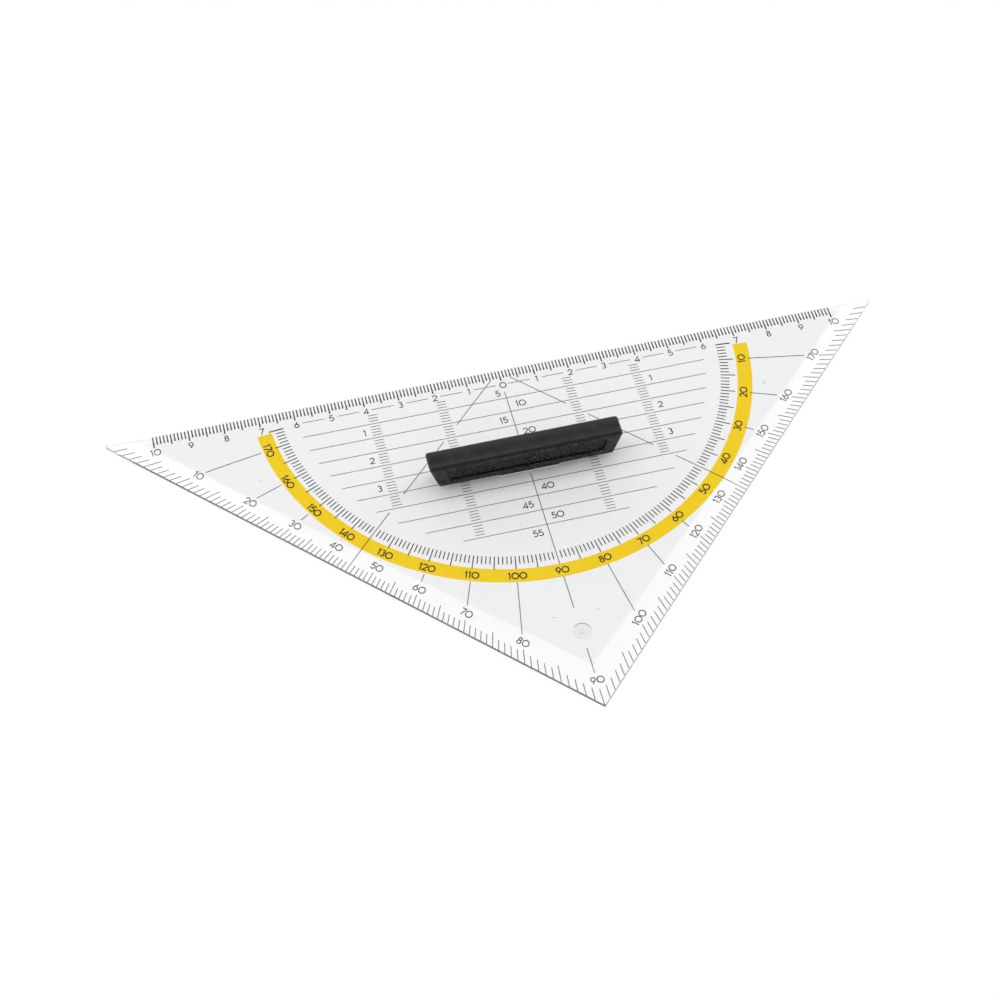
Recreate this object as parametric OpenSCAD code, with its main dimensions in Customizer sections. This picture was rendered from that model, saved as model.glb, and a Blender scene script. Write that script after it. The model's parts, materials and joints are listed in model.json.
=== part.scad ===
// Geometry triangle: a clear right-angled drawing triangle with a ruling edge in
// millimetres, a protractor printed round its zero mark, and a lift-off grip.
// Every printed line is a thin film under the plate, so it is read through it.

/* [Plate] */
// Length of the ruling edge between its two sharp corners
edge_len = 227; // [205:1:320]
// Thickness of the plate
plate_t = 2; // [1.6:0.1:4]
// Radius of the three corners seen from above
corner_r = 0.25; // [0.1:0.05:2]
// Distance from a short side to the line where its facet meets the top
facet_w = 7; // [5:0.5:10]
// Thickness left at the outer edge of a facet
facet_edge_t = 1.05; // [0.8:0.05:1.4]
// Radius that blends a facet into the top
facet_blend_r = 28; // [5:1:40]
// Bevel along the top of the ruling edge
ruling_bevel = 0.9; // [0.3:0.05:1]

/* [Nubs and gate mark] */
// Height of the nubs that hold the printed face off the paper
nub_h = 0.4; // [0.25:0.05:0.8]
// Diameter of a nub's flat foot
nub_d = 0.8; // [0.6:0.05:2]
// How much wider a nub is on every side where it meets the plate
nub_flare = 0.1; // [0.05:0.05:0.8]
// Distance from the arc's outer rim out to the outer nubs
outer_nub_out = 4.15; // [3:0.05:8]
// Angle between the ruling edge and the outer nubs
outer_nub_angle = 16.7; // [12:0.1:18]
// Distance of the inner nubs from the centre line
inner_nub_x = 6; // [3:0.2:7]
// Distance from the arc's outer rim out to the inner nubs
inner_nub_out = 12.25; // [7:0.05:14]
// Diameter of the round recess round the gate mark
gate_d = 5; // [3:0.2:8]
// Depth of that recess
gate_deep = 0.3; // [0.1:0.05:0.6]
// Diameter of the stub left in the middle of the recess
gate_stub_d = 1.3; // [0.6:0.1:2]
// Distance from the arc's outer rim out to the gate mark
gate_out = 18.55; // [16:0.05:21]

/* [Printed film] */
// Thickness of one printed film
film_t = 0.05; // [0.02:0.01:0.08]
// Space between the plate and a film, and between two films
film_gap = 0.02; // [0.01:0.01:0.03]
// Clear border round the grip's slot
slot_border = 0.8; // [0.5:0.1:2]

/* [Ruling scale] */
// One division of the scale
division = 1; // [0.8:0.05:1.1]
// Width of a scale mark
mark_w = 0.39; // [0.15:0.01:0.45]
// Length of a one-division mark
mark_len = 2.55; // [1.5:0.05:3]
// Length of a five-division mark
mark_mid_len = 3.3; // [2:0.05:3.6]
// Length of a ten-division mark
mark_long_len = 3.5; // [2.5:0.05:4]
// Distance between a mark and the edge it starts from
mark_inset = 0.1; // [0.05:0.05:0.4]
// Room without marks at each sharp corner
corner_room = 13; // [12:0.5:20]
// Gap between a dash of the number row and the ten-division line beside it
dash_gap = 1.8; // [1.2:0.1:3]

/* [Guide lines] */
// Width of a parallel line or of a dash in the number row
line_w = 0.17; // [0.1:0.01:0.35]
// Width of the centre line, the diagonals and the radial lines
cross_line_w = 0.21; // [0.1:0.01:0.35]
// Distance between the ends of the parallel lines and the degree marks
guide_gap = 4.25; // [1:0.05:12]
// Distance of the centre line's start from the ruling edge
centre_start = 7.7; // [6.5:0.1:9]
// Inner end of the first depth column
column_x = 17.2; // [16.5:0.1:17.5]
// Inner end of the second depth column
outer_column_x = 37.1; // [36.5:0.1:37.5]
// Length of a mark in a depth column
column_mark = 2.65; // [1.5:0.05:3]
// Width of a mark in a depth column
column_w = 0.18; // [0.1:0.01:0.4]
// Room between a depth column and the ends of the parallel lines
column_room = 2; // [1:0.1:4]

/* [Protractor] */
// Distance between the arc's outer rim and the short sides
arc_side_gap = 7.8; // [7:0.05:11]
// Width of the coloured arc
arc_w = 4.2; // [3:0.1:6]
// Angle between the ruling edge and each end of the arc
arc_end = 5.4; // [4:0.1:9]
// Sideways step of the coloured print from the dark print
arc_step = 0.7; // [0:0.1:1]
// Room for the degree marks inside the arc
degree_band = 4.2; // [3:0.1:6]
// Length of a one-degree mark
degree_len = 2.5; // [1.5:0.1:3]
// Width of a degree mark
degree_w = 0.29; // [0.12:0.01:0.4]
// Distance of the short sides' numerals from those sides
numeral_row = 5.5; // [4.5:0.1:7]
// Room that a radial line leaves before a numeral's centre
numeral_room = 2.4; // [1.8:0.1:3]

/* [Degree marks along the short sides] */
// Distance from the short side to a mark
side_inset = 0.3; // [0.1:0.05:0.6]
// Length of a one-degree mark, square to the side
side_len = 2.75; // [1.5:0.05:3]
// Length of a five-degree mark, square to the side
side_mid_len = 4; // [2:0.05:4.5]
// Length of a ten-degree mark, square to the side
side_long_len = 3.5; // [2:0.05:4]
// Width of a mark
side_w = 0.23; // [0.1:0.01:0.3]

/* [Grip] */
// Distance from the ruling edge to the middle of the grip
grip_y = 33.3; // [28:0.1:36]
// Sideways step of the grip's bar from its tongue
grip_step = 0.9; // [0:0.1:2]
// Length of the bar along its top
bar_top_len = 54.8; // [46:0.1:64]
// Length of the bar along its foot
bar_foot_len = 50.3; // [44:0.1:60]
// Depth of the bar at its top, front to back
bar_top_d = 6.5; // [6.2:0.05:7.6]
// Depth of the bar at its foot, front to back
bar_foot_d = 7.1; // [6.4:0.05:7.6]
// Height of the bar
bar_h = 8.15; // [7:0.05:12]
// Radius of the bar's upright edges
bar_corner_r = 0.85; // [0.7:0.05:1.2]
// Chamfer round the bar's top
bar_top_chamfer = 0.55; // [0.3:0.05:0.65]
// Chamfer round the bar's foot
bar_foot_chamfer = 0.3; // [0.1:0.05:0.5]
// Depth of the shallow hollow along the top
top_hollow = 0.1; // [0.05:0.01:0.2]
// Width of that hollow
top_hollow_w = 5; // [3:0.1:5]
// Length of each foot pad at the bar's ends
foot_pad_len = 6; // [4:0.1:9]
// Relief between the foot pads
foot_relief = 0.25; // [0.1:0.05:0.6]

/* [Finger panels] */
// Margin between a panel and the bar's ends
panel_end = 3.9; // [2.5:0.1:6]
// Margin between a panel and the bar's top
panel_top = 1.7; // [1.2:0.1:2.5]
// Margin between a panel and the bar's foot
panel_foot = 2.2; // [1:0.1:2.5]
// Depth of a panel
panel_deep = 0.75; // [0.4:0.05:1.2]
// Spacing of the ribs along a panel
rib_pitch = 1.38; // [1:0.02:2.5]
// Width of a rib
rib_w = 0.8; // [0.5:0.05:0.9]
// Height of a rib above the panel's floor
rib_h = 0.35; // [0.15:0.05:0.4]
// Lean of the ribs from upright
rib_lean = 45; // [15:1:50]

/* [Tongue and slot] */
// Length of the tongue that the slot takes
tongue_len = 18.2; // [12:0.1:22]
// Depth of the tongue, front to back
tongue_d = 6.4; // [5.5:0.1:8]
// Radius of the tongue's corners seen from above
tongue_r = 1; // [0.5:0.1:2]
// Lead-in at the tongue's lower end
tongue_lead = 0.3; // [0.1:0.05:0.5]
// Clearance between tongue and slot on every side
slot_clear = 0.15; // [0.05:0.01:0.3]
// Break round the slot's top
slot_break = 0.35; // [0.05:0.05:0.4]
// Radius of the upright ribs that hold the tongue in the slot
hold_rib_r = 0.4; // [0.2:0.05:0.6]
// How far a holding rib stands out of the tongue
hold_rib_out = 0.1; // [0.02:0.01:0.12]
// Space between the grip and the plate's top
seat_gap = 0.1; // [0.05:0.05:0.3]

/* [Hidden] */

root2 = sqrt(2);
half_edge = edge_len / 2;
// The two sharp corners close to this half length when they are rounded
plate_reach = half_edge - corner_r * root2 + corner_r;
// The zero mark lies this far behind the middle of the plate's box
zero_y = plate_reach / 2;
plate_top = nub_h + plate_t;
overrun = plate_t;
side_len_full = half_edge * root2;

// Divisions on each side of zero, in whole tens
label_step = 10;
mid_step = 5;
scale_count = floor((half_edge - corner_room) / division / label_step) * label_step;

// The arc lies inside the short sides, the degree marks inside the arc, and the lines inside them
arc_outer_r = half_edge / root2 - arc_side_gap;
arc_r = arc_outer_r - arc_w;
degree_r = arc_r - degree_band;
guide_r = degree_r - guide_gap;
// The number row has dashes out to this many tens, and the lines lie every five divisions
dash_tens = round(guide_r / division / label_step);
line_step = mid_step * division;
first_line = 2;
line_count = floor(guide_r / line_step);
// First division of the two depth columns
column_first = 7;
// The diagonals run from near zero to the side and stop short of the columns
diagonal_start = 2.8 * division;
diagonal_border = 1.2 * division;

degree_first = 5;
ruling_angle = 180;
square_angle = 90;
diagonal_angle = 45;
outer_nub_r = arc_outer_r + outer_nub_out;
outer_nub_x = outer_nub_r * cos(outer_nub_angle);
outer_nub_y = outer_nub_r * sin(outer_nub_angle);
inner_nub_y = arc_outer_r + inner_nub_out;
gate_y = arc_outer_r + gate_out;
gate_border = gate_d * 0.9;
nub_border = gate_d * 0.6;

slot_len = tongue_len + 2 * slot_clear;
slot_d = tongue_d + 2 * slot_clear;
slot_r = tongue_r + slot_clear;
grip_foot = plate_top + seat_gap;
grip_top = grip_foot + bar_h;
tongue_foot = nub_h + seat_gap;
bar_taper = (bar_top_len - bar_foot_len) / 2 / bar_h;
hold_rib_x = tongue_len / 4;

arc_steps = 8;
disc_fn = 64;
blend_fn = 720;
round_fn = 32;
hold_fn = 32;

ink = [0.2, 0.2, 0.22];

// Points of a circular arc round c, from angle a0 to a1
function arc_points(c, r, a0, a1, steps = arc_steps) =
    [for (i = [0 : steps]) let (a = a0 + (a1 - a0) * i / steps) c + r * [cos(a), sin(a)]];

// Radius at which a ray meets a line parallel to the short sides, d inside them
function side_radius(angle, d = 0) = (half_edge - d * root2) / (abs(cos(angle)) + sin(angle));

module from_zero_mark() {
    translate([0, zero_y, 0]) children();
}

module both_sides() {
    children();
    mirror([1, 0, 0]) children();
}

module at_angle(angle) {
    rotate(-angle) children();
}

// A rectangle from r0 to r1 along the x axis, centred on it
module ray(r0, r1, w) {
    translate([r0, -w / 2]) square([r1 - r0, w]);
}

module rounded_box_outline(len, deep, r) {
    x = len / 2 - r;
    y = deep / 2 - r;
    polygon(concat(
        arc_points([x, y], r, 0, 90),
        arc_points([-x, y], r, 90, 180),
        arc_points([-x, -y], r, 180, 270),
        arc_points([x, -y], r, 270, 360)
    ));
}

module plate_outline() {
    tip = half_edge - corner_r * (1 + root2);
    polygon(concat(
        arc_points([-tip, -corner_r], corner_r, 90, 225),
        arc_points([0, corner_r * root2 - half_edge], corner_r, 225, 315),
        arc_points([tip, -corner_r], corner_r, 315, 450)
    ));
}

// What a facet takes off the top along the left short side
module facet_cut() {
    slope = atan((plate_t - facet_edge_t) / facet_w);
    tangent = facet_blend_r * tan(slope / 2);
    blend_c = [facet_w + tangent, plate_top - facet_blend_r];
    out_z = plate_top - plate_t + facet_edge_t - overrun * tan(slope);
    translate([-half_edge, 0, 0]) rotate([0, 0, 45]) rotate([90, 0, 0])
        translate([0, 0, -side_len_full / 2]) linear_extrude(2 * side_len_full)
            polygon(concat(
                [[-overrun, out_z]],
                arc_points(blend_c, facet_blend_r, 90 + slope, 90),
                [[facet_w + tangent, plate_top + overrun], [-overrun, plate_top + overrun]]
            ));
}

module ruling_bevel_cut() {
    translate([-half_edge, 0, plate_top]) rotate([90, 0, 90]) linear_extrude(edge_len)
        polygon([
            [-ruling_bevel, 0],
            [0, -ruling_bevel],
            [overrun, -ruling_bevel],
            [overrun, overrun],
            [-ruling_bevel, overrun]
        ]);
}

module slot_cut() {
    translate([0, -grip_y, nub_h - overrun]) linear_extrude(plate_t + 2 * overrun)
        rounded_box_outline(slot_len, slot_d, slot_r);
    translate([0, -grip_y, 0]) hull() {
        translate([0, 0, plate_top - slot_break]) linear_extrude(slot_break)
            rounded_box_outline(slot_len, slot_d, slot_r);
        translate([0, 0, plate_top]) linear_extrude(slot_break)
            rounded_box_outline(slot_len + 2 * slot_break, slot_d + 2 * slot_break, slot_r + slot_break);
    }
}

module gate_cut() {
    translate([0, -gate_y, plate_top - gate_deep]) difference() {
        cylinder(d = gate_d, h = gate_deep + overrun, $fn = disc_fn);
        translate([0, 0, -overrun]) cylinder(d = gate_stub_d, h = overrun + gate_deep / 2, $fn = disc_fn);
    }
}

module nub(x, y) {
    root_d = nub_d + 2 * nub_flare;
    translate([x, -y, 0]) cylinder(d1 = nub_d, d2 = root_d, h = nub_h, $fn = disc_fn);
    translate([x, -y, nub_h]) cylinder(d = root_d, h = plate_t / 4, $fn = disc_fn);
}

module plate() {
    color([0.9, 0.91, 0.92, 0.45]) from_zero_mark() {
        difference() {
            translate([0, 0, nub_h]) linear_extrude(plate_t) plate_outline();
            both_sides() facet_cut();
            ruling_bevel_cut();
            slot_cut();
            gate_cut();
        }
        both_sides() nub(outer_nub_x, outer_nub_y);
        both_sides() nub(inner_nub_x, inner_nub_y);
    }
}

// A film under the plate, cut clear of the slot: layer 0 is nearest to the plate
module film(layer = 0) {
    from_zero_mark() translate([0, 0, nub_h - (layer + 1) * (film_gap + film_t)])
        linear_extrude(film_t) difference() {
            children();
            translate([0, -grip_y]) square([slot_len + 2 * slot_border, slot_d + 2 * slot_border], center = true);
        }
}

function mark_length(n) =
    n % label_step == 0 ? mark_long_len : n % mid_step == 0 ? mark_mid_len : mark_len;

module millimetre_scale() {
    color(ink) film() for (n = [-scale_count : scale_count])
        translate([n * division - mark_w / 2, -mark_inset - mark_length(n)])
            square([mark_w, mark_length(n)]);
}

module number_row_dashes() {
    dash = label_step * division;
    color(ink) film() difference() {
        for (n = [-dash_tens : dash_tens - 1])
            translate([n * dash + dash_gap, -line_step - line_w / 2]) square([dash - 2 * dash_gap, line_w]);
        diagonal_strokes();
    }
}

module parallel_lines() {
    color(ink) film() difference() {
        for (n = [first_line : line_count]) {
            y = n * line_step;
            reach = sqrt(max(0, guide_r * guide_r - y * y));
            translate([-reach, -y - line_w / 2]) square([2 * reach, line_w]);
        }
        centre_strokes();
        diagonal_strokes();
    }
}

module centre_strokes() {
    at_angle(square_angle) {
        ray(centre_start, arc_r, cross_line_w);
        ray(arc_outer_r, inner_nub_y - nub_border + division, cross_line_w);
        ray(gate_y + gate_border, side_radius(square_angle, numeral_row) - numeral_room, cross_line_w);
    }
}

module centre_line() {
    color(ink) film() centre_strokes();
}

// One stroke of a diagonal between two distances from the zero mark's own axes
module diagonal_stroke(from_x, to_x) {
    at_angle(diagonal_angle) ray(from_x * root2, to_x * root2, cross_line_w);
}

module diagonal_strokes() {
    both_sides() {
        diagonal_stroke(diagonal_start, column_x - diagonal_border);
        diagonal_stroke(column_x + column_mark + diagonal_border, outer_column_x - diagonal_border);
        diagonal_stroke(outer_column_x + column_mark + diagonal_border, half_edge / 2 - side_inset / root2);
    }
}

module diagonal_lines() {
    color(ink) film() diagonal_strokes();
}

// Whole groups of marks that fit between the number row and the ends of the parallel lines
function column_last(x) =
    let (reach = sqrt(pow(guide_r - column_room, 2) - pow(x + column_mark, 2)))
    floor((reach / division + 1) / mid_step) * mid_step;

module depth_column(x) {
    for (n = [column_first : column_last(x)]) if (n % mid_step != 0)
        translate([x, -n * division - column_w / 2]) square([column_mark, column_w]);
}

module depth_columns() {
    color(ink) film() both_sides() {
        depth_column(column_x);
        depth_column(outer_column_x);
    }
}

function is_line_angle(a) = a == square_angle || a % square_angle == diagonal_angle;

// The two marks beside the arc's ends are as wide as the scale's
module degree_marks() {
    last = ruling_angle - degree_first;
    color(ink) film() for (a = [degree_first : last]) if (!is_line_angle(a)) {
        end_r = a % mid_step == 0 ? arc_r : degree_r + degree_len;
        at_angle(a) ray(degree_r, end_r, a == degree_first || a == last ? mark_w : degree_w);
    }
}

module protractor_arc() {
    low = arc_outer_r * [cos(arc_end), -sin(arc_end)];
    reach = 2 * arc_outer_r;
    color([0.93, 0.8, 0.18]) film(1) translate([arc_step, 0]) intersection() {
        difference() {
            circle(r = arc_outer_r, $fn = blend_fn);
            circle(r = arc_r, $fn = blend_fn);
        }
        polygon([[0, 0], 2 * low, [reach, -reach], [-reach, -reach], [-2 * low[0], 2 * low[1]]]);
    }
}

module radial_lines() {
    color(ink) film() for (a = [label_step : label_step : ruling_angle - label_step]) if (a != square_angle)
        at_angle(a) ray(arc_outer_r, side_radius(a, numeral_row) - numeral_room, cross_line_w);
}

function side_mark_length(a) =
    a % label_step == 0 ? side_long_len : a % mid_step == 0 ? side_mid_len : side_len;

module side_degree_marks() {
    color(ink) film() for (a = [1 : ruling_angle - 1]) if (a % square_angle != diagonal_angle)
        at_angle(a) ray(side_radius(a, side_inset + side_mark_length(a)), side_radius(a, side_inset), side_w);
}

// A round disc with one chamfered rim at its top, one corner of the bar
module bar_corner(x, y, z, chamfer) {
    translate([x, y, z]) {
        cylinder(r = bar_corner_r, h = chamfer, $fn = round_fn);
        translate([0, 0, chamfer])
            cylinder(r1 = bar_corner_r, r2 = bar_corner_r - chamfer, h = chamfer, $fn = round_fn);
    }
}

module bar_end() {
    foot_x = bar_foot_len / 2 - bar_corner_r;
    foot_y = bar_foot_d / 2 - bar_corner_r;
    top_x = bar_top_len / 2 - bar_corner_r;
    top_y = bar_top_d / 2 - bar_corner_r;
    for (side = [-1, 1]) {
        bar_corner(top_x, side * top_y, grip_top - 2 * bar_top_chamfer, bar_top_chamfer);
        translate([0, 0, grip_foot + 2 * bar_foot_chamfer]) mirror([0, 0, 1])
            bar_corner(foot_x, side * foot_y, 0, bar_foot_chamfer);
    }
}

// A panel's outline seen from the front, with its ends along the bar's own
module panel_outline() {
    low = panel_foot;
    high = bar_h - panel_top;
    low_x = bar_foot_len / 2 + low * bar_taper - panel_end;
    high_x = bar_foot_len / 2 + high * bar_taper - panel_end;
    polygon([[-low_x, low], [low_x, low], [high_x, high], [-high_x, high]]);
}

// One leaning rib, as a low round ridge on the panel's floor
module rib(x) {
    tall = bar_h / cos(rib_lean);
    ridge_r = (rib_w * rib_w / 4 + rib_h * rib_h) / (2 * rib_h);
    half_angle = asin(rib_w / 2 / ridge_r);
    translate([x, bar_h / 2, 0]) rotate([0, 0, rib_lean]) rotate([90, 0, 0])
        translate([0, 0, -tall]) linear_extrude(2 * tall)
            polygon(arc_points([0, rib_h - ridge_r], ridge_r, 90 - half_angle, 90 + half_angle));
}

// The space of one finger panel, laid flat: z is the height above the panel's floor
module finger_panel() {
    difference() {
        linear_extrude(panel_deep + bar_foot_d) panel_outline();
        for (x = [-bar_top_len / 2 : rib_pitch : bar_top_len / 2]) rib(x);
    }
}

module grip_bar() {
    hollow_r = (top_hollow_w * top_hollow_w / 4 + top_hollow * top_hollow) / (2 * top_hollow);
    difference() {
        hull() {
            bar_end();
            mirror([1, 0, 0]) bar_end();
        }
        translate([-bar_top_len, 0, grip_top + hollow_r - top_hollow]) rotate([0, 90, 0])
            cylinder(r = hollow_r, h = 2 * bar_top_len, $fn = blend_fn);
        for (turn = [0, 180]) rotate([0, 0, turn])
            translate([0, panel_deep - bar_foot_d / 2, grip_foot]) rotate([90, 0, 0]) finger_panel();
        translate([0, 0, grip_foot])
            cube([bar_foot_len - 2 * foot_pad_len, 2 * bar_foot_d, 2 * foot_relief], center = true);
    }
}

module tongue() {
    deep = plate_top - tongue_foot;
    intersection() {
        translate([0, 0, tongue_foot]) linear_extrude(deep) {
            rounded_box_outline(tongue_len, tongue_d, tongue_r);
            for (x = [-hold_rib_x, hold_rib_x]) for (side = [-1, 1])
                translate([x, side * (tongue_d / 2 + hold_rib_out - hold_rib_r)]) circle(r = hold_rib_r, $fn = hold_fn);
        }
        rotate([90, 0, 90]) lead_in(tongue_len, tongue_d + 2 * hold_rib_out);
        rotate([90, 0, 0]) lead_in(tongue_d + 2 * hold_rib_r, tongue_len);
    }
    translate([0, 0, plate_top - deep / 2]) linear_extrude(deep / 2 + seat_gap + 2 * foot_relief)
        rounded_box_outline(tongue_len, min(tongue_d, bar_foot_d - 2 * bar_foot_chamfer), tongue_r);
}

// A long bar with a lead-in along its two lower edges
module lead_in(len, wide) {
    half = wide / 2;
    linear_extrude(2 * len, center = true) polygon([
        [tongue_lead - half, tongue_foot],
        [half - tongue_lead, tongue_foot],
        [half, tongue_foot + tongue_lead],
        [half, plate_top],
        [-half, plate_top],
        [-half, tongue_foot + tongue_lead]
    ]);
}

module grip() {
    color([0.16, 0.16, 0.17]) from_zero_mark() translate([0, -grip_y, 0]) {
        translate([-grip_step, 0, 0]) grip_bar();
        tongue();
    }
}

plate();
millimetre_scale();
number_row_dashes();
parallel_lines();
centre_line();
diagonal_lines();
depth_columns();
degree_marks();
protractor_arc();
radial_lines();
side_degree_marks();
grip();
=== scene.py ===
"""Geometry triangle: the looks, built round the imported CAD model."""

import math

import bmesh
import bpy
from mathutils import Matrix, Vector
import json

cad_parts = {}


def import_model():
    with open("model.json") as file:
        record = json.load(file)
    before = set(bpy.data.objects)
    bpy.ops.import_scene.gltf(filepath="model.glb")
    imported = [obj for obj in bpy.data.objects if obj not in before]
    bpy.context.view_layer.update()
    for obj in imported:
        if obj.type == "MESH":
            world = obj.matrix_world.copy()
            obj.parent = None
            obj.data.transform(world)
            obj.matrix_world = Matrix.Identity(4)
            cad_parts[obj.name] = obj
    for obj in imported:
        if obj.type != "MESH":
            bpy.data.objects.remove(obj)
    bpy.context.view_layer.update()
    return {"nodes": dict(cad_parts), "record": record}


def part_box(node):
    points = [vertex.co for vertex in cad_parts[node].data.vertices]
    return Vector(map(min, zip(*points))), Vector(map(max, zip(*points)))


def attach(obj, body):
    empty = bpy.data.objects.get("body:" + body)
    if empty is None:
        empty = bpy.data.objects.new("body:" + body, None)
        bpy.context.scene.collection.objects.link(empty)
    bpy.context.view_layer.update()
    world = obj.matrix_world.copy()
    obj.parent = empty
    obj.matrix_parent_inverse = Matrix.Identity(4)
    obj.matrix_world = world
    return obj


MM = 0.001

# The camera stands where the photograph's perspective puts it
CAMERA_PLACE = (-0.0968, -0.3129, 0.4791)
CAMERA_HEADING = 14.846
CAMERA_ELEVATION = 54.83
CAMERA_ROLL = 0.822
CAMERA_LENS = 76.43

# How much the rounding takes off half the ruling edge, in millimetres
CORNER_LOSS = 0.355

# Numerals, in millimetres from the zero mark
NUMERAL_HEIGHT = 2.1
ROW_X = 0.15
ROW_Y = -5.25
ROW_TENS = 10
CENTRE_LABELS = [
    ("5", -2.05, -7.95),
    ("10", 3.5, -12.7),
    ("15", -2.7, -17.6),
    ("20", 3.5, -22.6),
    ("25", -3.2, -27.3),
    ("40", 3.55, -42.4),
    ("45", -3.4, -47.55),
    ("50", 3.7, -52.5),
    ("55", -3.1, -57.3),
]
COLUMN_LABEL_X = [-41.8, 42.05]
COLUMN_LABEL_Y = [-12.7, -22.6, -32.5]
ARC_NUMERAL_X = 0.2
ARC_NUMERAL_R = 70.4
RIGHT_SIDE_ROW = 5.45
RIGHT_SIDE_STEP = 0.3
LEFT_SIDE_ROW = 5.7
LEFT_SIDE_STEP = 0.15
THIN_STROKE = 0.14
SIDE_STROKE = 0.15
BOLD_STROKE = 0.175

# Clear plastic: share of light that goes straight through it, and what a trapped ray still sees
STRAIGHT_SHARE = 0.955
TRAPPED_DEPTH = 3.5
TRAPPED_SHARE = 0.1
# Tones of its faces, and of its rims, which are less polished and tinted darker as painted shade for the
# dark lines along its edges; a face is upright below a tilt
CLEAR = (0.99, 0.995, 0.995)
HAZE = 0.03
RIM_PAINTED_SHADE = (0.45, 0.46, 0.46)
RIM_TILT = (0.2, 0.5)
RIM_FROST = 0.25
# Frosted nubs, up to a height in metres
NUB_FROST = 0.6
NUB_SKIN = (0.00034, 0.00037)

# The round gate mark, in metres, and its tones: its wall and floor are painted dark as painted shade in
# the recess
GATE_PLACE = (0.0, -0.03431, 0.00225)
GATE_SKIN = (0.00252, 0.00256)
GATE_FOOT = 0.0019
GATE_PAINTED_SHADE = (0.02, 0.02, 0.02)
GATE_FLOOR_PAINTED_SHADE = 0.13

# Floor, in metres, with the share of light that it adds where it is seen
FLOOR_HALF = 8.0
FLOOR_Z = -0.00002
FLOOR_PAINT = 0.9
FLOOR_GLOW = 0.075

# Strength of the sky from the front of the object (y = -1) to its back (y = 1)
SKY_PEAK = 2.38
SKY_BANDS = [
    (-0.12, 0.45),
    (0.0, 1.84),
    (0.24, 1.84),
    (0.3, 2.38),
    (0.445, 2.38),
    (0.475, 0.16),
    (0.64, 0.16),
    (0.71, 1.73),
]
# Up to this height the sky mirrors as the white floor does
SKY_FOOT = (0.25, 0.3)


def arc(cx, cy, rx, a0, a1, steps=16, ry=None):
    """Points of an arc round (cx, cy), from angle a0 to a1 in degrees."""
    ry = rx if ry is None else ry
    points = []
    for i in range(steps + 1):
        a = math.radians(a0 + (a1 - a0) * i / steps)
        points.append((cx + rx * math.cos(a), cy + ry * math.sin(a)))
    return points


def ring(cx, cy, rx, ry=None, steps=32):
    return arc(cx, cy, rx, 90, 450, steps, ry)[:-1]


def turned(strokes, width):
    """The same strokes after half a turn, as a nine comes from a six."""
    return [([(width - x, 1 - y) for x, y in points], closed) for points, closed in strokes]


def digit_shapes():
    """Each digit as (width, strokes); a stroke is its middle line and whether it closes."""
    bowl = (0.36, 0.33, 0.28)
    top = (0.5, 0.95)
    reach = math.hypot(top[0] - bowl[0], top[1] - bowl[1])
    touch = math.atan2(top[1] - bowl[1], top[0] - bowl[0]) + math.acos(bowl[2] / reach)
    tail = (bowl[0] + bowl[2] * math.cos(touch), bowl[1] + bowl[2] * math.sin(touch))
    six = [(ring(*bowl), True), ([top, tail], False)]
    two = arc(0.34, 0.67, 0.27, 170, -35, 18) + [(0.06, 0.05), (0.66, 0.05)]
    three_top = arc(0.3, 0.73, 0.22, 150, -90, 16)
    three_foot = arc(0.3, 0.28, 0.24, 90, -150, 18)
    five = [(0.56, 0.95), (0.2, 0.95), (0.13, 0.56)] + arc(0.33, 0.33, 0.28, 115, -145, 20)
    return {
        "0": (0.98, [(ring(0.49, 0.5, 0.43, 0.44), True)]),
        "1": (0.4, [([(0.06, 0.78), (0.24, 0.95), (0.24, 0.0)], False)]),
        "2": (0.7, [(two, False)]),
        "3": (0.64, [(three_top, False), (three_foot, False)]),
        "4": (0.72, [([(0.52, 0.0), (0.52, 0.93), (0.05, 0.25), (0.7, 0.25)], False)]),
        "5": (0.68, [(five, False)]),
        "6": (0.72, six),
        "7": (0.64, [([(0.04, 0.95), (0.6, 0.95), (0.2, 0.0)], False)]),
        "8": (0.68, [(ring(0.34, 0.735, 0.2), True), (ring(0.34, 0.29, 0.25), True)]),
        "9": (0.72, turned(six, 0.72)),
    }


DIGITS = digit_shapes()
DIGIT_GAP = 0.05


def text_width(text):
    return sum(DIGITS[c][0] for c in text) + DIGIT_GAP * (len(text) - 1)


def stroke_sides(points, width, closed):
    """The two sides of a stroke, with its corners mitred."""
    n = len(points)
    pts = [Vector(p) for p in points]
    left = []
    right = []
    for i in range(n):
        before = pts[i] - pts[i - 1] if closed or i > 0 else pts[1] - pts[0]
        after = pts[(i + 1) % n] - pts[i] if closed or i < n - 1 else pts[-1] - pts[-2]
        n0 = Vector((-before.y, before.x)).normalized()
        n1 = Vector((-after.y, after.x)).normalized()
        mitre = (n0 + n1).normalized()
        out = mitre * (width / 2 / max(mitre.dot(n0), 0.45))
        left.append(pts[i] + out)
        right.append(pts[i] - out)
    return left, right


def add_stroke(bm, points, width, closed, z_low, z_high):
    """One stroke as a thin solid strip."""
    left, right = stroke_sides(points, width, closed)
    n = len(points)
    rails = []
    for side, z in ((left, z_high), (right, z_high), (right, z_low), (left, z_low)):
        rails.append([bm.verts.new((p.x, p.y, z)) for p in side])
    for i in range(n if closed else n - 1):
        j = (i + 1) % n
        for k in range(4):
            a = rails[k]
            b = rails[(k + 1) % 4]
            bm.faces.new((a[i], b[i], b[j], a[j]))
    if not closed:
        bm.faces.new([rail[0] for rail in reversed(rails)])
        bm.faces.new([rail[-1] for rail in rails])


def let_light_past(obj):
    """Ink on a plate that stands in even light from all sides throws no shadow that shows."""
    obj.visible_shadow = False
    obj.visible_diffuse = False


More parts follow.
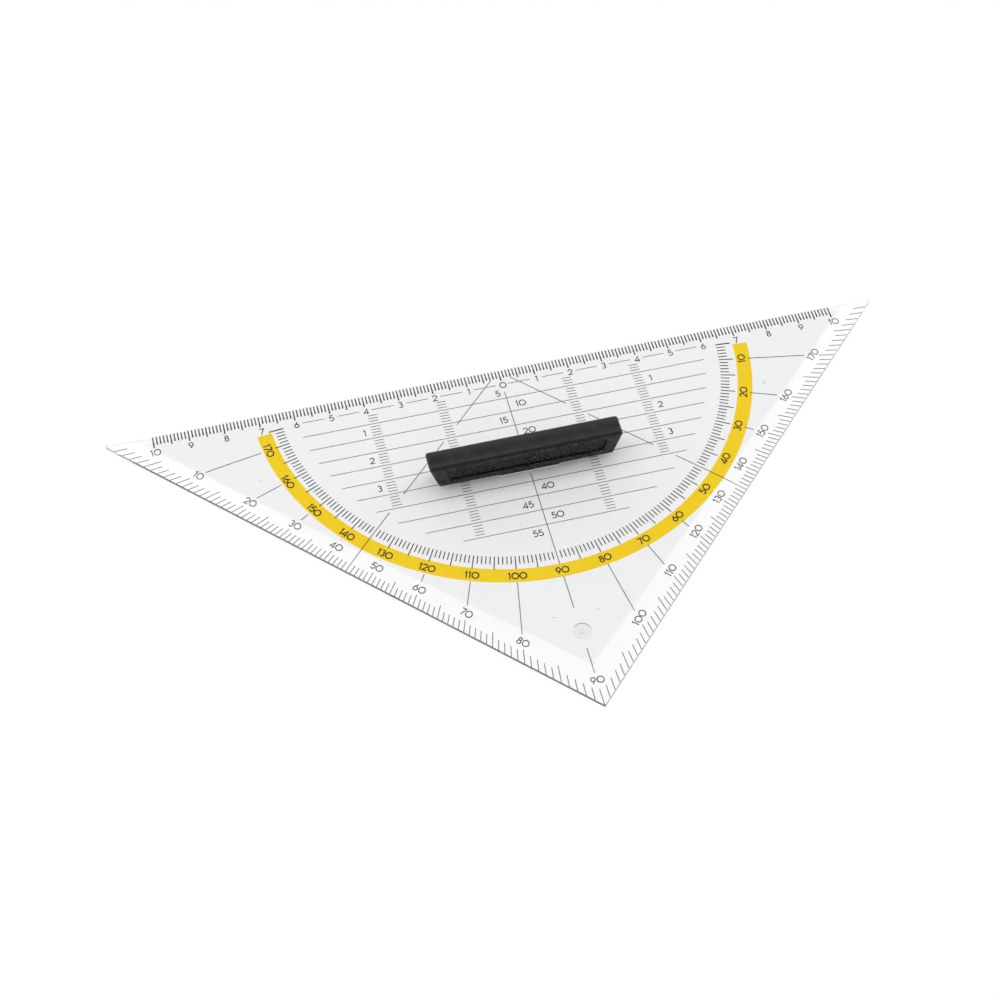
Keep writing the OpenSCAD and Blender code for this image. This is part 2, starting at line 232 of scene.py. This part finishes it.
def numeral_group(name, labels, stroke, body, zero_y, z_low, z_high):
    """All numerals of one group as one film mesh; a label is (text, x, y, height, direction)."""
    bm = bmesh.new()
    for text, x, y, height, along in labels:
        along = Vector(along).normalized()
        up = Vector((-along.y, along.x))
        pen = -text_width(text) / 2
        for c in text:
            width, strokes = DIGITS[c]
            for points, closed in strokes:
                placed = []
                for u, v in points:
                    p = Vector((x, y)) + height * ((pen + u) * along + (v - 0.5) * up)
                    placed.append((p.x * MM, zero_y + p.y * MM))
                add_stroke(bm, placed, stroke * height * MM, closed, z_low, z_high)
            pen += width + DIGIT_GAP
    bmesh.ops.recalc_face_normals(bm, faces=bm.faces)
    mesh = bpy.data.meshes.new(name)
    bm.to_mesh(mesh)
    bm.free()
    obj = bpy.data.objects.new(name, mesh)
    bpy.context.scene.collection.objects.link(obj)
    mesh.materials.append(bpy.data.materials["ink_dark"])
    let_light_past(obj)
    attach(obj, body)
    return obj


def new_material(name):
    material = bpy.data.materials.new(name)
    material.use_nodes = True
    tree = material.node_tree
    tree.nodes.clear()
    out = tree.nodes.new("ShaderNodeOutputMaterial")
    return material, tree, out


def principled(tree, colour, roughness, **inputs):
    shader = tree.nodes.new("ShaderNodeBsdfPrincipled")
    shader.inputs["Base Color"].default_value = (*colour, 1)
    shader.inputs["Roughness"].default_value = roughness
    for name, value in inputs.items():
        shader.inputs[name.replace("_", " ")].default_value = value
    return shader


def noise(tree, scale, detail=3.0, rough=0.5):
    place = tree.nodes.new("ShaderNodeTexCoord")
    texture = tree.nodes.new("ShaderNodeTexNoise")
    texture.inputs["Scale"].default_value = scale
    texture.inputs["Detail"].default_value = detail
    texture.inputs["Roughness"].default_value = rough
    tree.links.new(place.outputs["Object"], texture.inputs["Vector"])
    return texture


def spread(tree, source, low, high, from_low=0.3, from_high=0.7):
    """A map of a noise onto a range of values."""
    node = tree.nodes.new("ShaderNodeMapRange")
    node.inputs["From Min"].default_value = from_low
    node.inputs["From Max"].default_value = from_high
    node.inputs["To Min"].default_value = low
    node.inputs["To Max"].default_value = high
    tree.links.new(source, node.inputs["Value"])
    return node.outputs["Result"]


def two_tones(tree, source, dark, light):
    ramp = tree.nodes.new("ShaderNodeValToRGB")
    ramp.color_ramp.elements[0].position = 0.35
    ramp.color_ramp.elements[0].color = (*dark, 1)
    ramp.color_ramp.elements[1].position = 0.65
    ramp.color_ramp.elements[1].color = (*light, 1)
    tree.links.new(source, ramp.inputs["Fac"])
    return ramp.outputs["Color"]


def bump(tree, source, strength, distance):
    node = tree.nodes.new("ShaderNodeBump")
    node.inputs["Strength"].default_value = strength
    node.inputs["Distance"].default_value = distance
    tree.links.new(source, node.inputs["Height"])
    return node.outputs["Normal"]


def reckon(tree, operation, first, second=0.0, clamp=False):
    """A sum on a value and a second one, which may be a plain number."""
    node = tree.nodes.new("ShaderNodeMath")
    node.operation = operation
    node.use_clamp = clamp
    tree.links.new(first, node.inputs[0])
    if isinstance(second, float):
        node.inputs[1].default_value = second
    else:
        tree.links.new(second, node.inputs[1])
    return node.outputs[0]


def object_parts(tree, kind):
    """X, Y and Z of the object's own place or normal, or of a direction in the sky."""
    place = tree.nodes.new("ShaderNodeTexCoord")
    split = tree.nodes.new("ShaderNodeSeparateXYZ")
    tree.links.new(place.outputs[kind], split.inputs[0])
    return split.outputs


def path_sum(tree, names):
    """One where a ray is any of these kinds, and nought elsewhere."""
    path = tree.nodes.new("ShaderNodeLightPath")
    total = path.outputs[names[0]]
    for name in names[1:]:
        total = reckon(tree, "ADD", total, path.outputs[name], clamp=True)
    return total


def mixed(tree, factor, first, second):
    node = tree.nodes.new("ShaderNodeMixShader")
    tree.links.new(factor, node.inputs[0])
    tree.links.new(first, node.inputs[1])
    tree.links.new(second, node.inputs[2])
    return node.outputs[0]


def through(tree, level):
    """A surface that lets this share of the light straight through."""
    node = tree.nodes.new("ShaderNodeBsdfTransparent")
    node.inputs["Color"].default_value = (level, level, level, 1)
    return node.outputs[0]


def gate_share(tree):
    """One inside the round recess of the gate mark."""
    place = tree.nodes.new("ShaderNodeTexCoord")
    far = tree.nodes.new("ShaderNodeVectorMath")
    far.operation = "DISTANCE"
    tree.links.new(place.outputs["Object"], far.inputs[0])
    far.inputs[1].default_value = GATE_PLACE
    near = spread(tree, far.outputs["Value"], 1.0, 0.0, *GATE_SKIN)
    above = reckon(tree, "GREATER_THAN", object_parts(tree, "Object")["Z"], GATE_FOOT)
    return reckon(tree, "MULTIPLY", near, above)


def dress_faces(tree, shader):
    """Clear polished faces, rougher rims tinted darker as painted shade, a gate mark painted dark as
    painted shade, and frosted nubs.
    """
    tilt = reckon(tree, "ABSOLUTE", object_parts(tree, "Normal")["Z"])
    upright = spread(tree, tilt, 1.0, 0.0, *RIM_TILT)
    nub = spread(tree, object_parts(tree, "Object")["Z"], 1.0, 0.0, *NUB_SKIN)
    rim = reckon(tree, "MULTIPLY", upright, reckon(tree, "LESS_THAN", nub, 0.5))
    gate = gate_share(tree)

    # Along the ramp: nought is a clear face, a half a rim with its painted shade and one the gate mark's
    # wall in painted shade; the gate mark's floor takes a little painted shade
    tone = reckon(tree, "MULTIPLY", rim, 0.5)
    tone = reckon(tree, "MAXIMUM", tone, reckon(tree, "MULTIPLY", gate, GATE_FLOOR_PAINTED_SHADE))
    tone = reckon(tree, "MAXIMUM", tone, reckon(tree, "MULTIPLY", gate, rim))
    ramp = tree.nodes.new("ShaderNodeValToRGB")
    ramp.color_ramp.elements.new(0.5)
    for stop, colour in zip(ramp.color_ramp.elements, (CLEAR, RIM_PAINTED_SHADE, GATE_PAINTED_SHADE)):
        stop.color = (*colour, 1)
    tree.links.new(tone, ramp.inputs["Fac"])
    tree.links.new(ramp.outputs["Color"], shader.inputs["Base Color"])

    frost = spread(tree, noise(tree, 900, 2).outputs["Fac"], 0.0, HAZE)
    frost = reckon(tree, "ADD", frost, reckon(tree, "MULTIPLY", rim, RIM_FROST))
    frost = reckon(tree, "ADD", frost, reckon(tree, "MULTIPLY", nub, NUB_FROST))
    tree.links.new(frost, shader.inputs["Roughness"])


def clear_plastic():
    """Clear moulded acrylic that lets the lamps' light straight through to what lies under it."""
    material, tree, out = new_material("acrylic_clear")
    shader = principled(tree, CLEAR, HAZE / 2, IOR=1.49, Transmission_Weight=1.0)
    wave = noise(tree, 45, 1.5, 0.4)
    tree.links.new(bump(tree, wave.outputs["Fac"], 0.05, 0.0001), shader.inputs["Normal"])
    dress_faces(tree, shader)
    depth = tree.nodes.new("ShaderNodeLightPath").outputs["Ray Depth"]
    trapped = reckon(tree, "GREATER_THAN", depth, TRAPPED_DEPTH)
    leak = through(tree, TRAPPED_SHARE)
    straight = through(tree, STRAIGHT_SHARE)
    seen = mixed(tree, trapped, shader.outputs[0], leak)
    lamps = path_sum(tree, ["Is Shadow Ray", "Is Diffuse Ray"])
    tree.links.new(mixed(tree, lamps, seen, straight), out.inputs["Surface"])
    return material


def ink(name, dark, light, roughness):
    """A printed film whose density varies a little along its strokes."""
    material, tree, out = new_material(name)
    shader = principled(tree, light, roughness, Specular_IOR_Level=0.0)
    density = noise(tree, 1500, 3)
    tree.links.new(two_tones(tree, density.outputs["Fac"], dark, light), shader.inputs["Base Color"])
    grain = noise(tree, 6000, 2)
    tree.links.new(bump(tree, grain.outputs["Fac"], 0.2, 0.00002), shader.inputs["Normal"])
    tree.links.new(shader.outputs[0], out.inputs["Surface"])
    return material


def black_plastic():
    """Black moulding with a fine spark-eroded texture."""
    material, tree, out = new_material("plastic_black")
    shader = principled(tree, (0.006, 0.006, 0.0065), 0.27, IOR=1.44)
    tone = noise(tree, 260, 4)
    tree.links.new(
        two_tones(tree, tone.outputs["Fac"], (0.004, 0.004, 0.0045), (0.008, 0.008, 0.0085)),
        shader.inputs["Base Color"],
    )
    patch = noise(tree, 420, 3)
    tree.links.new(spread(tree, patch.outputs["Fac"], 0.24, 0.3), shader.inputs["Roughness"])
    grain = noise(tree, 5200, 3, 0.6)
    tree.links.new(bump(tree, grain.outputs["Fac"], 0.1, 0.00004), shader.inputs["Normal"])
    tree.links.new(shader.outputs[0], out.inputs["Surface"])
    return material


def floor():
    """A white floor that keeps the object's shadow."""
    material, tree, out = new_material("floor_white")
    paint = tree.nodes.new("ShaderNodeBsdfDiffuse")
    paint.inputs["Color"].default_value = (FLOOR_PAINT, FLOOR_PAINT, FLOOR_PAINT, 1)
    glow = tree.nodes.new("ShaderNodeEmission")
    seen = path_sum(tree, ["Is Camera Ray", "Is Glossy Ray", "Is Transmission Ray"])
    tree.links.new(reckon(tree, "MULTIPLY", seen, FLOOR_GLOW), glow.inputs["Strength"])
    both = tree.nodes.new("ShaderNodeAddShader")
    tree.links.new(paint.outputs[0], both.inputs[0])
    tree.links.new(glow.outputs[0], both.inputs[1])
    tree.links.new(both.outputs[0], out.inputs["Surface"])
    mesh = bpy.data.meshes.new("floor")
    corners = [(-1, -1), (1, -1), (1, 1), (-1, 1)]
    places = [(x * FLOOR_HALF, y * FLOOR_HALF, FLOOR_Z) for x, y in corners]
    mesh.from_pydata(places, [], [(0, 1, 2, 3)])
    mesh.materials.append(material)
    obj = bpy.data.objects.new("floor", mesh)
    bpy.context.scene.collection.objects.link(obj)


def world():
    """Soft light from above and behind, in bands from the front of the object to its back."""
    made = bpy.data.worlds.new("studio")
    bpy.context.scene.world = made
    made.use_nodes = True
    tree = made.node_tree
    tree.nodes.clear()
    out = tree.nodes.new("ShaderNodeOutputWorld")
    side = object_parts(tree, "Generated")
    bands = tree.nodes.new("ShaderNodeValToRGB")
    stops = bands.color_ramp.elements
    while len(stops) < len(SKY_BANDS):
        stops.new(0.5)
    for stop, (y, strength) in zip(stops, SKY_BANDS):
        stop.position = (y + 1) / 2
        stop.color = (*[strength / SKY_PEAK] * 3, 1)
    tree.links.new(spread(tree, side["Y"], 0.0, 1.0, -1.0, 1.0), bands.inputs["Fac"])
    light = tree.nodes.new("ShaderNodeBackground")
    light.inputs["Strength"].default_value = SKY_PEAK
    tree.links.new(bands.outputs["Color"], light.inputs["Color"])

    plain = tree.nodes.new("ShaderNodeBackground")
    plain.inputs["Color"].default_value = (1, 1, 1, 1)
    near_floor = spread(tree, side["Z"], 1.0, 0.0, *SKY_FOOT)
    mirrored = path_sum(tree, ["Is Glossy Ray", "Is Transmission Ray"])
    white = reckon(tree, "MULTIPLY", near_floor, mirrored)
    white = reckon(tree, "ADD", white, path_sum(tree, ["Is Camera Ray"]))
    tree.links.new(mixed(tree, white, light.outputs[0], plain.outputs[0]), out.inputs["Surface"])


def camera():
    data = bpy.data.cameras.new("camera")
    data.sensor_width = 36
    data.lens = CAMERA_LENS
    data.clip_start = 0.01
    data.clip_end = 50
    obj = bpy.data.objects.new("camera", data)
    bpy.context.scene.collection.objects.link(obj)
    obj.matrix_world = (
        Matrix.Translation(CAMERA_PLACE)
        @ Matrix.Rotation(-math.radians(CAMERA_HEADING), 4, "Z")
        @ Matrix.Rotation(math.radians(90 - CAMERA_ELEVATION), 4, "X")
        @ Matrix.Rotation(math.radians(CAMERA_ROLL), 4, "Z")
    )
    bpy.context.scene.camera = obj


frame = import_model()
bpy.context.scene.view_settings.view_transform = "Standard"

camera()
world()
floor()

materials = {
    "clear_plastic": clear_plastic(),
    "dark_print": ink("ink_dark", (0.02, 0.02, 0.023), (0.045, 0.045, 0.05), 0.6),
    "yellow_print": ink("ink_yellow", (0.98, 0.66, 0.01), (1.0, 0.7, 0.014), 0.55),
    "black_plastic": black_plastic(),
}
for row in frame["record"]["subparts"]:
    node = frame["nodes"][row["node"]]
    for slot in node.material_slots:
        slot.material = materials[row["material_slot"]]
    if row["material_slot"].endswith("_print"):
        let_light_past(node)

zero_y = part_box("plate")[1].y
half_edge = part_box("plate")[1].x / MM + CORNER_LOSS
film_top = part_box("millimetre_scale")[1].z
film_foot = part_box("millimetre_scale")[0].z

right = (1, 0)
row_labels = []
for n in range(-ROW_TENS, ROW_TENS + 1):
    row_labels.append((str(abs(n)), 10.0 * n + ROW_X, ROW_Y, NUMERAL_HEIGHT, right))
centre_labels = [(text, x, y, NUMERAL_HEIGHT, right) for text, x, y in CENTRE_LABELS]
column_labels = []
for x in COLUMN_LABEL_X:
    for i, y in enumerate(COLUMN_LABEL_Y):
        column_labels.append((str(i + 1), x, y, NUMERAL_HEIGHT, right))
arc_labels = []
side_labels = []
for angle in range(10, 180, 10):
    a = math.radians(angle)
    out = Vector((math.cos(a), -math.sin(a)))
    place = out * ARC_NUMERAL_R
    arc_labels.append((str(angle), place.x + ARC_NUMERAL_X, place.y, NUMERAL_HEIGHT, (-out.y, out.x)))
    side_row = RIGHT_SIDE_ROW if angle < 90 else LEFT_SIDE_ROW
    step = RIGHT_SIDE_STEP if angle < 90 else LEFT_SIDE_STEP
    along = Vector((1, 1) if angle < 90 else (1, -1) if angle > 90 else right).normalized()
    place = out * (half_edge - side_row * math.sqrt(2)) / (abs(math.cos(a)) + math.sin(a)) + step * along
    side_labels.append((str(180 - angle), place.x, place.y, NUMERAL_HEIGHT, along))

for name, labels, stroke in (
    ("ruling_numerals", row_labels, THIN_STROKE),
    ("centre_numerals", centre_labels, THIN_STROKE),
    ("column_numerals", column_labels, THIN_STROKE),
    ("arc_numerals", arc_labels, BOLD_STROKE),
    ("side_numerals", side_labels, SIDE_STROKE),
):
    numeral_group(name, labels, stroke, "plate", zero_y, film_foot, film_top)
